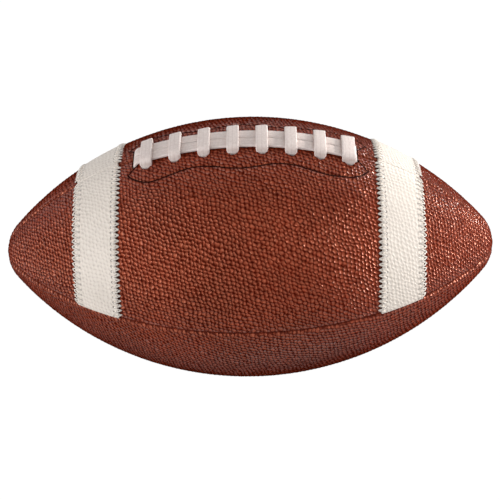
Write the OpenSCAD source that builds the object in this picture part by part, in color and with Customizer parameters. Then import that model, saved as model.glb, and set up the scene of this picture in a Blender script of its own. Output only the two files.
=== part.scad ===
// American football: four sewn leather panels, laced along the top seam, round an air bladder.
// +X runs along the ball, +Z points up through the lacing, and the origin is the ball's centre.

/* [Ball] */
// Length from tip to tip
ball_len = 282; // [270:1:295]
// Diameter at the middle
ball_dia = 150.8; // [140:0.2:175]
// Radius of the rounded nose at each tip
nose_r = 23.3; // [20:0.1:28]

/* [Panels] */
// Thickness of the leather
leather_t = 2.2; // [1.8:0.1:2.6]
// Thickness of the cloth lining
lining_t = 0.9; // [0.6:0.1:1.2]
// How far the turned-in seam edge reaches below the outer surface
seam_edge_depth = 7.4; // [6.4:0.1:9]

/* [Stripes] */
// Distance from the middle of the ball to the stripe, along the axis
stripe_x = 72.6; // [66:0.2:80]
// Width of the stripe, along the axis
stripe_w = 23.8; // [18:0.2:28]
// Thickness of the stripe
stripe_t = 0.8; // [0.5:0.1:1.2]
// Room left between the stripe's end and the seam
stripe_end_gap = 0.5; // [0.3:0.1:2]

/* [Lace] */
// Number of crosses
cross_count = 8; // [6:1:8]
// Distance between crosses
cross_pitch = 16.05; // [15.5:0.05:16.2]
// Distance of the lace holes from the middle of the lacing
hole_y = 9.4; // [9.3:0.1:11]
// Radius of a lace hole
hole_r = 2.6; // [2.5:0.1:3]
// Width of the lace where it lies flat
lace_w = 6.8; // [5.8:0.1:7]
// Thickness of the lace where it lies flat
lace_t = 2; // [1.6:0.1:2.2]
// Width of the lace where it is bunched in a hole
bunch_w = 4.4; // [3.6:0.1:4.5]
// Thickness of the lace where it is bunched in a hole
bunch_t = 2.4; // [2:0.1:2.6]
// Gap between the two long strands
strand_gap = 0.6; // [0.5:0.1:1.2]
// How far the middle of the lacing lies to the rear of the seam
strand_shift = 1; // [0:0.1:1.1]
// Distance from the last cross to the mouth where a strand goes in
mouth_step = 5; // [4.6:0.1:6]
// Length of the tucked ends of the lace inside
tail_len = 27; // [15:1:40]

/* [Inside] */
// Thickness of the lace stays
stay_t = 1; // [0.6:0.1:1.4]
// Half width of the stays' outline, on average
stay_y = 19.1; // [17:0.1:22]
// Height of the waves in the stays' outline
stay_wave = 1.6; // [0:0.1:2.5]
// Distance between the waves in the stays' outline
stay_wave_len = 48.5; // [40:0.5:60]
// Reach of the stays' tips beyond the mouths
stay_tip = 5.2; // [3:0.1:7]
// Distance of the stays' tips from the seam
stay_tip_y = 11.8; // [10:0.1:15]
// Distance from the mouths to where the waves begin
stay_lobe = 9.4; // [7:0.1:12]
// Distance from the mouths to the stays' inner ends
stay_notch = 3.2; // [2.5:0.1:5]
// Thickness of the tongue
tongue_t = 1.5; // [1:0.1:2]
// Length of the tongue
tongue_len = 146; // [135:1:160]
// Width of the tongue
tongue_w = 38; // [30:1:44]
// Wall of the bladder
bladder_t = 0.9; // [0.6:0.1:1.4]

/* [Seam thread] */
// Radius of the seam thread
thread_r = 0.45; // [0.3:0.05:0.5]
// Distance between stitches
stitch_pitch = 9; // [7:0.5:12]
// Radius of the knot at each stitch hole
knot_r = 0.65; // [0.6:0.05:0.75]

/* [Valve] */
// Radius of the hole in the leather
valve_hole_r = 4.4; // [4.2:0.1:5]
// Radius of the valve's neck
neck_r = 4.1; // [3.9:0.1:4.7]
// How far the neck's rim lies below the leather
rim_drop = 0.5; // [0.3:0.1:1]
// Radius of the flange that is bonded to the bladder
base_r = 11; // [9:0.5:14]
// Thickness of the flange
base_t = 1.4; // [1:0.1:2]
// Length of the valve from rim to end
valve_len = 16; // [15:0.5:20]
// Radius of the plug's head
plug_head_r = 3; // [2.7:0.1:3.2]
// Thickness of the plug's head
plug_head_t = 1.8; // [1.2:0.1:2.4]
// Radius of the plug's stem
plug_stem_r = 2.2; // [1.9:0.1:2.5]
// Length of the plug
plug_len = 13; // [11:0.5:14]
// Radius of the needle hole
needle_r = 1; // [0.8:0.05:1.2]
// Depth of the needle hole
needle_depth = 10; // [8:0.5:12]

/* [Hidden] */

$fn = 96;

// Play between soft pieces that lie on each other
play = 0.3;
// Play round a thread in its stitch hole
thread_play = 0.1;
// Play between the plug and the valve
plug_play = 0.05;
// Overrun of every cut
over = 1;
// Width of the slit between the two lace panels
slit_w = 1;
// Room between a strand and the edge of its mouth
mouth_play = 0.7;
// Least gap between two layers of lace
lace_gap = 0.6;
// Chamfer on the edges of the lace
lace_chamfer = 0.6;
// How far before each corner of the lace its bend begins, inside the ball
inner_cut = 1.6;
// How far before each corner of the lace its bend begins, outside the ball
outer_cut = 2;
// Height of the lace's narrow stretch above the leather
bunch_rise = 0.4;
// Corner radius of the tongue
tongue_corner = 8;
// Room in the bladder round the tongue
pocket_play = 4;
// Rubber left under the plug in the valve
valve_floor = 1.2;

// Number of steps along half of a stay's wavy side
stay_steps = 24;
// Number of steps in the lace: round a bend, round a wide bend, along a diagonal inside and along a
// long strand
bend_steps = 3;
wide_bend_steps = 4;
diagonal_steps = 4;
strand_steps = 14;
// Rings of the lace on each side of a point that its least gap leaves out
near_rings = 12;

// Number of facets along the belly and along each nose
belly_steps = 28;
nose_steps = 5;

// Outline of the ball: one long arc for the belly, and a nose arc that meets it smoothly
half_len = ball_len / 2;
ball_r = ball_dia / 2;
nose_x = half_len - nose_r;
belly_r = (nose_x * nose_x + ball_r * ball_r - nose_r * nose_r) / (2 * (ball_r - nose_r));
belly_drop = belly_r - ball_r;
join_angle = atan2(nose_x, belly_drop);

// Depths below the leather's outer surface
stay_top = leather_t + lining_t;
stay_bottom = stay_top + stay_t;
upper_lace = stay_bottom + play + bunch_t / 2;
lower_lace = upper_lace + bunch_t / 2 + lace_gap + lace_t / 2;
tongue_top = lower_lace + lace_t / 2 + play;
tongue_bottom = tongue_top + tongue_t;
bladder_top = stay_top + play;
pocket_depth = tongue_bottom + play;

// Heights of the lace above the leather
strand_rise = play + lace_t / 2;
cross_rise = strand_rise + lace_t + lace_gap;

// Places of the lace
first_x = -(cross_count - 1) / 2 * cross_pitch;
mouth_x = -first_x + mouth_step;
front_strand_y = strand_shift - (lace_w + strand_gap) / 2;
rear_strand_y = strand_shift + (lace_w + strand_gap) / 2;
front_hole_y = strand_shift - hole_y;
rear_hole_y = strand_shift + hole_y;
mouth_len = lace_t + 2 * mouth_play;
mouth_w = 2 * lace_w + strand_gap + 2 * mouth_play;
slit_half = mouth_x + mouth_len / 2 + play;
slit_angle = asin(slit_half / (belly_r - seam_edge_depth));

// Places of the stitches in the seams
stitch_depth = (stay_top + seam_edge_depth) / 2;
stitch_r = belly_r - stitch_depth;
stitch_angle = stitch_pitch / stitch_r * 180 / PI;
stitch_side = leather_t + thread_r + play / 2;
knot_h = 2 * (thread_r + thread_play);
stitch_count = floor((join_angle - stitch_angle / 2) / stitch_angle);
stitch_start = ceil((slit_angle + stitch_angle / 2) / stitch_angle);

// Radius of the ball at a distance from the middle
function ball_radius(x) =
    abs(x) < belly_r * sin(join_angle)
        ? sqrt(belly_r * belly_r - x * x) - belly_drop
        : sqrt(nose_r * nose_r - pow(abs(x) - nose_x, 2));

// Points of the outline at a depth, as distance along the ball and distance from its axis
function belly_points(depth, from, to, steps) =
    [for (i = [0:steps])
        let (a = from + (to - from) * i / steps)
        [(belly_r - depth) * sin(a), (belly_r - depth) * cos(a) - belly_drop]];
function nose_points(depth) =
    [for (i = [1:nose_steps])
        let (a = join_angle + (90 - join_angle) * i / nose_steps)
        [nose_x + (nose_r - depth) * sin(a), (nose_r - depth) * cos(a)]];
function flip(points) = [for (i = [len(points) - 1:-1:0]) [-points[i][0], points[i][1]]];
function outline(depth) =
    concat(flip(nose_points(depth)),
           belly_points(depth, -join_angle, join_angle, belly_steps),
           nose_points(depth));
function reverse(points) = [for (i = [len(points) - 1:-1:0]) points[i]];
function turned(points) = [for (p = points) [max(p[1], 0), p[0]]];

// Solid of the ball's shape at a depth below its surface
module ball_at(depth) {
    rotate([0, 90, 0])
        rotate_extrude()
            polygon(turned(outline(depth)));
}

// Quarter of a skin between two depths: top front quarter, turned to the others by its number
module quarter_skin(quarter, depth_a, depth_b, margin = 0) {
    rotate([90 * quarter, 0, 0])
        rotate([0, 90, 0])
            rotate_extrude(angle = 90 - 2 * margin, start = 180 + margin)
                polygon(turned(concat(outline(depth_a), reverse(outline(depth_b)))));
}

// Half of a turned-in seam edge, from an angle along the belly out to the tip
module seam_edge_half(from) {
    steps = belly_steps / 2;
    near = leather_t / 2;
    points = concat(belly_points(near, from, join_angle, steps),
                    nose_points(near),
                    reverse(concat(belly_points(seam_edge_depth, from, join_angle, steps),
                                   nose_points(seam_edge_depth))));
    rotate([90, 0, 0])
        linear_extrude(height = leather_t)
            polygon(points);
}

// Turned-in seam edge under the top seam, on the front side of the seam plane
module seam_edge(from) {
    seam_edge_half(from);
    mirror([1, 0, 0])
        seam_edge_half(from);
}

// Both turned-in edges of a quarter: the first along its upper seam, the second along its lower one
module seam_edges(quarter, from_first, from_second) {
    rotate([90 * quarter, 0, 0]) {
        seam_edge(from_first);
        rotate([90, 0, 0])
            mirror([0, 1, 0])
                seam_edge(from_second);
    }
}

// Rods through the stitch holes of the top seam, from a stitch number outwards on one side
module stitch_rods(radius, from, side) {
    for (i = [from:stitch_count])
        let (a = side * i * stitch_angle)
            translate([stitch_r * sin(a), 0, stitch_r * cos(a) - belly_drop])
                rotate([90, 0, 0])
                    cylinder(r = radius, h = 2 * stitch_side, center = true, $fn = 24);
}

module stitch_holes(quarter, from_first, from_second) {
    rotate([90 * quarter, 0, 0]) {
        stitch_rods(thread_r + thread_play, from_first, 1);
        stitch_rods(thread_r + thread_play, max(from_first, 1), -1);
        rotate([90, 0, 0]) {
            stitch_rods(thread_r + thread_play, from_second, 1);
            stitch_rods(thread_r + thread_play, max(from_second, 1), -1);
        }
    }
}

// Lace holes, mouths and slit, cut straight down through the top
module lace_cuts() {
    for (i = [0:cross_count - 1])
        for (y = [front_hole_y, rear_hole_y])
            translate([first_x + i * cross_pitch, y, 0])
                cylinder(r = hole_r, h = ball_r + over, $fn = 48);
    for (x = [-mouth_x, mouth_x])
        translate([x - mouth_len / 2, strand_shift - mouth_w / 2, 0])
            cube([mouth_len, mouth_w, ball_r + over]);
    translate([-slit_half, -slit_w / 2, 0])
        cube([2 * slit_half, slit_w, ball_r + over]);
}

// Places a piece at the valve, with +Z pointing straight in from the leather
module at_valve() {
    rotate([-135, 0, 0])
        translate([0, 0, ball_r])
            rotate([180, 0, 0])
                children();
}

// Hole for the valve through leather and lining, drilled in from the surface
module valve_cut(radius) {
    at_valve()
        translate([0, 0, -over])
            cylinder(r = radius, h = seam_edge_depth + over, $fn = 48);
}

// Leather panel: the curved skin with its two turned-in edges
module panel_blank(quarter, slit_first = false, slit_second = false) {
    difference() {
        union() {
            quarter_skin(quarter, 0, leather_t);
            seam_edges(quarter, slit_first ? slit_angle : 0, slit_second ? slit_angle : 0);
        }
        stitch_holes(quarter, slit_first ? stitch_start : 0, slit_second ? stitch_start : 0);
    }
}

module panel_top_front() {
    color("saddlebrown")
        difference() {
            panel_blank(0, slit_first = true);
            lace_cuts();
        }
}

module panel_top_rear() {
    color("saddlebrown")
        difference() {
            panel_blank(3, slit_second = true);
            lace_cuts();
        }
}

module panel_bottom_front() {
    color("sienna")
        panel_blank(1);
}

module panel_bottom_rear() {
    color("sienna")
        difference() {
            panel_blank(2);
            valve_cut(valve_hole_r);
        }
}

// Space taken by the turned-in edges of all four seams
module seam_slabs(half_w) {
    reach = ball_len + 2 * over;
    translate([-reach / 2, -half_w, -reach / 2])
        cube([reach, 2 * half_w, reach]);
    translate([-reach / 2, -reach / 2, -half_w])
        cube([reach, reach, 2 * half_w]);
}

// Cloth lining: lies against the leather between the turned-in edges
module lining_blank(quarter) {
    difference() {
        quarter_skin(quarter, leather_t, stay_top);
        seam_slabs(leather_t);
    }
}

module lining_top_front() {
    color("beige")
        difference() {
            lining_blank(0);
            lace_cuts();
        }
}

module lining_top_rear() {
    color("beige")
        difference() {
            lining_blank(3);
            lace_cuts();
        }
}

module lining_bottom_front() {
    color("beige")
        lining_blank(1);
}

module lining_bottom_rear() {
    color("beige")
        difference() {
            lining_blank(2);
            valve_cut(valve_hole_r);
        }
}

// White strip sewn on a lace panel, from the top seam to the side seam
module stripe(quarter, side) {
    margin = asin(stripe_end_gap / ball_radius(stripe_x + stripe_w));
    intersection() {
        quarter_skin(quarter, -stripe_t, 0, margin);
        translate([side > 0 ? stripe_x : -stripe_x - stripe_w, -ball_dia, -ball_dia])
            cube([stripe_w, 2 * ball_dia, 2 * ball_dia]);
    }
}

module stripe_front_left() {
    color("white")
        stripe(0, -1);
}

module stripe_front_right() {
    color("white")
        stripe(0, 1);
}

module stripe_rear_left() {
    color("white")
        stripe(3, -1);
}

module stripe_rear_right() {
    color("white")
        stripe(3, 1);
}

// Outline of one stay: a wavy side, a pointed lobe at each end and a notch towards the seam
function stay_side() =
    [for (i = [-stay_steps:stay_steps])
        let (x = (mouth_x - stay_lobe) * i / stay_steps)
        [x, stay_y + stay_wave * cos(360 * x / stay_wave_len)]];
function stay_outline() =
    concat([[-mouth_x + stay_notch, slit_w / 2], [-mouth_x - stay_tip, stay_tip_y]],
           stay_side(),
           [[mouth_x + stay_tip, stay_tip_y], [mouth_x - stay_notch, slit_w / 2]]);

// Lace stay: sewn under the lining to take the pull of the lace
module stay(quarter, side) {
    difference() {
        intersection() {
            quarter_skin(quarter, stay_top, stay_bottom);
            mirror([0, side < 0 ? 1 : 0, 0])
                linear_extrude(height = ball_r + over)
                    polygon(stay_outline());
        }
        lace_cuts();
    }
}

module lace_stay_front() {
    color("tan")
        stay(0, -1);
}

module lace_stay_rear() {
    color("tan")
        stay(3, 1);
}

// Rounded rectangle seen from above, as a plate that reaches to the middle of the ball
module rounded_plate(length, width, corner) {
    linear_extrude(height = ball_r + over)
        union() {
            square([length - 2 * corner, width], center = true);
            square([length, width - 2 * corner], center = true);
            for (x = [-1, 1])
                for (y = [-1, 1])
                    translate([x * (length / 2 - corner), y * (width / 2 - corner)])
                        circle(r = corner, $fn = 48);
        }
}

// Tongue: a flap under the lace that keeps it off the bladder
module tongue() {
    color("peru")
        intersection() {
            difference() {
                ball_at(tongue_top);
                ball_at(tongue_bottom);
            }
            rounded_plate(tongue_len, tongue_w, tongue_corner);
        }
}

// Shape of the blown-up bladder: grooved over the seams and pressed in under the tongue
module bladder_form(inset) {
    pocket_l = tongue_len + 2 * (pocket_play + inset);
    pocket_w = tongue_w + 2 * (pocket_play + inset);
    difference() {
        ball_at(bladder_top + inset);
        difference() {
            seam_slabs(stitch_side + knot_r + play + inset);
            ball_at(seam_edge_depth + play + inset);
        }
        difference() {
            rounded_plate(pocket_l, pocket_w, tongue_corner + pocket_play + inset);
            ball_at(pocket_depth + inset);
        }
    }
}

module bladder() {
    color("dimgray")
        difference() {
            bladder_form(0);
            bladder_form(bladder_t);
            valve_cut(neck_r + play);
        }
}

// Rubber valve housing: a flange bonded under the bladder wall, and a neck up to the leather
module valve_housing() {
    color("black")
        difference() {
            union() {
                intersection() {
                    difference() {
                        ball_at(bladder_top + bladder_t);
                        ball_at(bladder_top + bladder_t + base_t);
                    }
                    at_valve()
                        cylinder(r = base_r, h = valve_len, $fn = 64);
                }
                at_valve()
                    translate([0, 0, rim_drop])
                        cylinder(r = neck_r, h = valve_len, $fn = 64);
            }
            at_valve()
                translate([0, 0, rim_drop - over])
                    cylinder(r = plug_head_r + plug_play, h = plug_head_t + plug_play + over, $fn = 64);
            at_valve()
                translate([0, 0, rim_drop])
                    cylinder(r = plug_stem_r + plug_play, h = valve_len - valve_floor, $fn = 64);
        }
}

// Soft plug with the needle hole
module valve_plug() {
    color("darkslategray")
        at_valve()
            translate([0, 0, rim_drop])
                difference() {
                    union() {
                        cylinder(r = plug_head_r, h = plug_head_t, $fn = 64);
                        cylinder(r = plug_stem_r, h = plug_len, $fn = 64);
                    }
                    translate([0, 0, -over])
                        cylinder(r = needle_r, h = needle_depth + over, $fn = 48);
                }
}

// Seam thread along the top seam: stitches on both faces of the turned-in edges, and one through
// each hole
module thread_run(from, side) {
    for (i = [from:stitch_count])
        let (a = side * i * stitch_angle)
            translate([stitch_r * sin(a), 0, stitch_r * cos(a) - belly_drop]) {
                rotate([90, 0, 0])
                    cylinder(r = thread_r, h = 2 * stitch_side, center = true, $fn = 24);
                for (y = [-stitch_side, stitch_side])
                    translate([0, y, 0])
                        rotate([90, 0, 0])
                            cylinder(r = knot_r, h = knot_h, center = true, $fn = 24);
            }
    chord = 2 * stitch_r * sin(stitch_angle / 2);
    if (stitch_count > from)
        for (i = [from:stitch_count - 1])
            let (a = side * i * stitch_angle)
                for (y = [-stitch_side, stitch_side])
                    translate([stitch_r * sin(a), y, stitch_r * cos(a) - belly_drop])
                        rotate([0, side * (90 + (i + 0.5) * stitch_angle), 0])
                            cylinder(r = thread_r, h = chord, $fn = 24);
}

module full_thread() {
    thread_run(0, 1);
    thread_run(0, -1);
}

module thread_top_left() {
    color("ivory")
        thread_run(stitch_start, -1);
}

module thread_top_right() {
    color("ivory")
        thread_run(stitch_start, 1);
}

module thread_front() {
    color("ivory")
        rotate([90, 0, 0])
            full_thread();
}

module thread_bottom() {
    color("ivory")
        rotate([180, 0, 0])
            full_thread();
}

module thread_rear() {
    color("ivory")
        rotate([270, 0, 0])
            full_thread();
}

// Route of the lace. Each stop gives its place along the ball, its place across, its rise above the
// leather, the lace's width and thickness there, and whether its width lies across the ball (0) or
// along it (1). Then follow the cut-back and the steps of the bend there.
function flat_stop(x, y, rise, cut, steps) = [[x, y, rise, lace_w, lace_t, 0], cut, steps];
function cross_stop(x, y, cut, steps) = [[x, y, cross_rise, lace_w, lace_t, 1], cut, steps];
function hole_stop(x, y, rise, cut, steps) = [[x, y, rise, bunch_w, bunch_t, 1], cut, steps];
function cross_stops(x) = [
    hole_stop(x, front_hole_y, -upper_lace, inner_cut, bend_steps),
    hole_stop(x, front_hole_y, bunch_rise, 0, 0),
    cross_stop(x, front_hole_y, outer_cut, wide_bend_steps),
    cross_stop(x, strand_shift - hole_y / 2, 0, 0),
    cross_stop(x, strand_shift, 0, 0),
    cross_stop(x, strand_shift + hole_y / 2, 0, 0),
    cross_stop(x, rear_hole_y, outer_cut, wide_bend_steps),
    hole_stop(x, rear_hole_y, bunch_rise, 0, 0),
    hole_stop(x, rear_hole_y, -upper_lace, inner_cut, bend_steps)];
function diagonal_stops(x) =
    [for (i = [1:diagonal_steps - 1])
        let (share = i / diagonal_steps)
        hole_stop(x + cross_pitch * share, strand_shift + hole_y * (1 - 2 * share), -upper_lace, 0, 0)];
function strand_stops(y) =
    [for (i = [1:strand_steps - 1])
        flat_stop(mouth_x - 2 * mouth_x * i / strand_steps, y, strand_rise, 0, 0)];
function tail_stops(side, y) = [
    flat_stop(side * (mouth_x - tail_len), y, -lower_lace, 0, 0),
    flat_stop(side * (mouth_x - tail_len * 2 / 3), y, -lower_lace, 0, 0),
    flat_stop(side * (mouth_x - tail_len / 3), y, -lower_lace, 0, 0),
    flat_stop(side * mouth_x, y, -lower_lace, inner_cut, bend_steps)];
function link_stops(side, y) = [
    flat_stop(side * mouth_x, y, -leather_t / 2, 0, 0),
    [[side * mouth_x, y, -upper_lace, bunch_w, bunch_t, 0], inner_cut, bend_steps]];
lace_stops =
    concat(tail_stops(1, front_strand_y),
           [flat_stop(mouth_x, front_strand_y, strand_rise, outer_cut, wide_bend_steps)],
           strand_stops(front_strand_y),
           [flat_stop(-mouth_x, front_strand_y, strand_rise, outer_cut, wide_bend_steps)],
           link_stops(-1, front_strand_y),
           [for (i = [0:cross_count - 2])
               let (x = first_x + i * cross_pitch)
               each concat(cross_stops(x), diagonal_stops(x))],
           cross_stops(-first_x),
           reverse(link_stops(1, rear_strand_y)),
           [flat_stop(mouth_x, rear_strand_y, strand_rise, outer_cut, wide_bend_steps)],
           strand_stops(rear_strand_y),
           [flat_stop(-mouth_x, rear_strand_y, strand_rise, outer_cut, wide_bend_steps)],
           reverse(tail_stops(-1, rear_strand_y)));

// Stops with the bends filled in
function mix(a, b, share) = a + (b - a) * share;
function place(stop) = [stop[0], stop[1], stop[2]];
function towards(from, to, distance) = mix(from, to, distance / norm(place(to) - place(from)));
function bend(before, at, after, cut, steps) =
    let (start = towards(at, before, cut), finish = towards(at, after, cut))
    [for (i = [0:steps])
        mix(mix(start, at, i / steps), mix(at, finish, i / steps), i / steps)];
lace_rings =
    [for (i = [0:len(lace_stops) - 1])
        let (stop = lace_stops[i])
        each stop[1] == 0
            ? [stop[0]]
            : bend(lace_stops[i - 1][0], stop[0], lace_stops[i + 1][0], stop[1], stop[2])];

// A ring's centre in space: its rise is measured square to the leather
function ring_centre(ring) =
    let (slope = sqrt(1 - pow(ring[0] / belly_r, 2)),
         r = ball_radius(ring[0]) + ring[2] / slope)
    [ring[0], ring[1], sqrt(r * r - ring[1] * ring[1])];
function unit(v) = v / norm(v);
lace_centres = [for (ring = lace_rings) ring_centre(ring)];
last_ring = len(lace_rings) - 1;

// A ring's frame: along, across the width, across the thickness. The width lies on the leather.
function ring_frame(i) =
    let (along = unit(lace_centres[min(i + 1, last_ring)] - lace_centres[max(i - 1, 0)]),
         c = lace_centres[i],
         across = c[1] / norm([c[1], c[2]]),
         lengthwise = c[0] / belly_r,
         turn = lace_rings[i][5],
         aim = turn * [sqrt(1 - lengthwise * lengthwise), 0, -lengthwise]
             + (1 - turn) * [0, sqrt(1 - across * across), -across],
         wide = unit(aim - (aim * along) * along))
    [along, wide, cross(along, wide)];
lace_frames = [for (i = [0:last_ring]) ring_frame(i)];
function ring_points(i) =
    let (c = lace_centres[i],
         wide = lace_frames[i][1],
         thick = lace_frames[i][2],
         w = lace_rings[i][3] / 2,
         t = lace_rings[i][4] / 2,
         e = lace_chamfer)
    [for (p = [[w, t - e], [w - e, t], [e - w, t], [-w, t - e],
               [-w, e - t], [e - w, -t], [w - e, -t], [w, e - t]])
        c + p[0] * wide + p[1] * thick];
lace_points = [for (i = [0:last_ring]) ring_points(i)];
lace_sides = len(lace_points[0]);

module lace() {
    faces = concat(
        [for (k = [1:lace_sides - 2]) [0, k, k + 1]],
        [for (i = [0:last_ring - 1])
            for (k = [0:lace_sides - 1])
                let (a = i * lace_sides + k,
                     b = i * lace_sides + (k + 1) % lace_sides,
                     c = a + lace_sides,
                     d = b + lace_sides)
                each [[a, c, b], [b, c, d]]],
        [for (k = [1:lace_sides - 2])
            let (o = last_ring * lace_sides)
            [o, o + k + 1, o + k]]);
    color("snow")
        polyhedron(points = [for (ring = lace_points) each ring], faces = faces);
}

// Least gap of the lace to itself: from points on each ring to the box round each far ring
function box_gap(p, j) =
    let (d = p - lace_centres[j],
         reach = norm(lace_centres[min(j + 1, last_ring)] - lace_centres[max(j - 1, 0)]) / 4)
    norm([max(0, abs(d * lace_frames[j][0]) - reach),
          max(0, abs(d * lace_frames[j][1]) - lace_rings[j][3] / 2),
          max(0, abs(d * lace_frames[j][2]) - lace_rings[j][4] / 2)]);
function ring_samples(i) =
    let (points = lace_points[i])
    concat(points, [(points[1] + points[2]) / 2, (points[5] + points[6]) / 2]);
lace_least_gap = min(
    [for (i = [0:last_ring])
        for (j = [0:last_ring])
            if (abs(i - j) > near_rings && norm(lace_centres[i] - lace_centres[j]) < 2 * lace_w)
                min([for (p = ring_samples(i)) box_gap(p, j)])]);
echo(lace_least_gap = lace_least_gap);  // lace

panel_top_front();
panel_top_rear();
panel_bottom_front();
panel_bottom_rear();
lining_top_front();
lining_top_rear();
lining_bottom_front();
lining_bottom_rear();
stripe_front_left();
stripe_front_right();
stripe_rear_left();
stripe_rear_right();
lace();
lace_stay_front();
lace_stay_rear();
tongue();
bladder();
valve_housing();
valve_plug();
thread_top_left();
thread_top_right();
thread_front();
thread_bottom();
thread_rear();
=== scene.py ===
# American football: four pebbled leather panels with white stripes sewn on and a white lace along
# the top seam. Everything is in metres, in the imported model's own frame.
import math

import bmesh
import bpy
import numpy as np
from mathutils import Matrix, Vector


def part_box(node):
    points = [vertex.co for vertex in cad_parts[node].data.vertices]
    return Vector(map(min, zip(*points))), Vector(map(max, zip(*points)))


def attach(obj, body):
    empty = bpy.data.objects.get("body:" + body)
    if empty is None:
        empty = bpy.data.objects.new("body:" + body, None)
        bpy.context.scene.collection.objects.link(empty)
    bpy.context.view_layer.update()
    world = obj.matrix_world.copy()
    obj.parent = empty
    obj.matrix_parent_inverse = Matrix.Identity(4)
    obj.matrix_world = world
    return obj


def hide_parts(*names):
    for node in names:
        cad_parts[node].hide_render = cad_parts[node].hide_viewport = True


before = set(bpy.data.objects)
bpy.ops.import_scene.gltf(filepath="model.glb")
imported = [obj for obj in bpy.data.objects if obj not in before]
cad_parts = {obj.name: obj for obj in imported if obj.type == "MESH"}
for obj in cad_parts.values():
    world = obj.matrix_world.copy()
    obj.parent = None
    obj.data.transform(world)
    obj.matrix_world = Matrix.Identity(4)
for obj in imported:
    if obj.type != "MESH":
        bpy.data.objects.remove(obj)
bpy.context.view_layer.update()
MM = 0.001

# Camera: a long lens that looks down on the front of the ball, with the lacing at the top.
# It stands where the photograph's ends, seams and stripes fall into place.
camera_distance = 0.900
camera_elevation = math.radians(39.48)
camera_yaw = math.radians(0.762)
camera_roll = math.radians(-1.507)
picture_size = 500
focal_pixels = 1541.3
axis_row = 246.54
toward_camera = Vector((
    math.sin(camera_yaw) * math.cos(camera_elevation),
    -math.cos(camera_yaw) * math.cos(camera_elevation),
    math.sin(camera_elevation),
))
level_right = (-toward_camera).cross(Vector((0, 0, 1))).normalized()
level_up = level_right.cross(-toward_camera)
image_right = math.cos(camera_roll) * level_right + math.sin(camera_roll) * level_up
image_up = math.cos(camera_roll) * level_up - math.sin(camera_roll) * level_right
camera = bpy.data.objects.new("camera", bpy.data.cameras.new("camera"))
bpy.context.scene.collection.objects.link(camera)
camera.data.sensor_width = 36.0
camera.data.lens = camera.data.sensor_width * focal_pixels / picture_size
camera.data.shift_y = (axis_row - picture_size / 2) / picture_size
camera.matrix_world = Matrix.Translation(toward_camera * camera_distance) @ Matrix(
    (image_right, image_up, toward_camera)).transposed().to_4x4()
bpy.context.scene.camera = camera


# Light and floor: a large soft box in front, one at the left, a weaker one behind, and a row of
# small ones round the right side that light up the pebbles there. The floor and the room show
# white, and the floor keeps the ball's soft shadow.
def srgb(red, green, blue):
    """A colour written as it looks, from 0 to 255, as linear light."""
    parts = [c / 255 for c in (red, green, blue)]
    return tuple(c / 12.92 if c <= 0.04045 else ((c + 0.055) / 1.055) ** 2.4 for c in parts) + (1.0,)


def node(tree, kind, inputs=(), **settings):
    """A node with its settings and inputs. An input is a value or another node's output."""
    made = tree.nodes.new(kind)
    for key, value in settings.items():
        setattr(made, key, value)
    for key, value in dict(inputs).items():
        if isinstance(value, bpy.types.NodeSocket):
            tree.links.new(value, made.inputs[key])
        else:
            made.inputs[key].default_value = value
    return made


def fmath(tree, operation, *values):
    """A sum on numbers."""
    return node(tree, "ShaderNodeMath", enumerate(values), operation=operation).outputs[0]


def vmath(tree, operation, *values):
    """A sum on places, directions or colours."""
    made = node(tree, "ShaderNodeVectorMath", enumerate(values), operation=operation)
    return made.outputs["Value" if operation in ("LENGTH", "DOT_PRODUCT") else "Vector"]


def lamp(name, place, size, watts, colour):
    """A square lamp that points at the ball."""
    data = bpy.data.lights.new(name, "AREA")
    data.size = size
    data.energy = watts
    data.color = colour
    thing = bpy.data.objects.new(name, data)
    bpy.context.scene.collection.objects.link(thing)
    thing.location = place
    thing.rotation_euler = (-Vector(place)).to_track_quat("-Z", "Y").to_euler()


warm = (1.0, 0.985, 0.96)
neutral = (1.0, 1.0, 1.0)
lamp("high right", (0.75, -0.05, 0.86), 0.10, 1.6, warm)
lamp("right", (1.05, 0.06, 0.36), 0.10, 5.2, warm)
lamp("back right", (0.75, 0.85, 0.25), 0.12, 4.0, warm)
lamp("low right", (1.20, -0.06, -0.01), 0.20, 7.6, neutral)
lamp("front", (-0.55, -1.47, 0.54), 2.00, 15.2, neutral)
lamp("left", (-1.12, -0.42, 0.04), 0.90, 10.0, neutral)
lamp("back", (0.10, 1.35, 0.72), 1.40, 5.4, neutral)

bpy.context.scene.view_settings.view_transform = "Standard"
room = bpy.data.worlds.new("room")
bpy.context.scene.world = room
room.use_nodes = True
sky = room.node_tree
sky.nodes.clear()
room_light = node(sky, "ShaderNodeBackground", {"Color": srgb(236, 240, 248), "Strength": 0.22})
room_white = node(sky, "ShaderNodeBackground", {"Color": (1, 1, 1, 1)})


def seen_white(tree):
    """One for rays that see the background: straight ones, and those off gloss or through glass."""
    ray = node(tree, "ShaderNodeLightPath").outputs
    seen = fmath(tree, "MAXIMUM", ray["Is Camera Ray"], ray["Is Glossy Ray"])
    return fmath(tree, "MAXIMUM", seen, ray["Is Transmission Ray"])


room_mix = node(sky, "ShaderNodeMixShader", {
    0: seen_white(sky), 1: room_light.outputs[0], 2: room_white.outputs[0]})
node(sky, "ShaderNodeOutputWorld", {"Surface": room_mix.outputs[0]})

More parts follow.
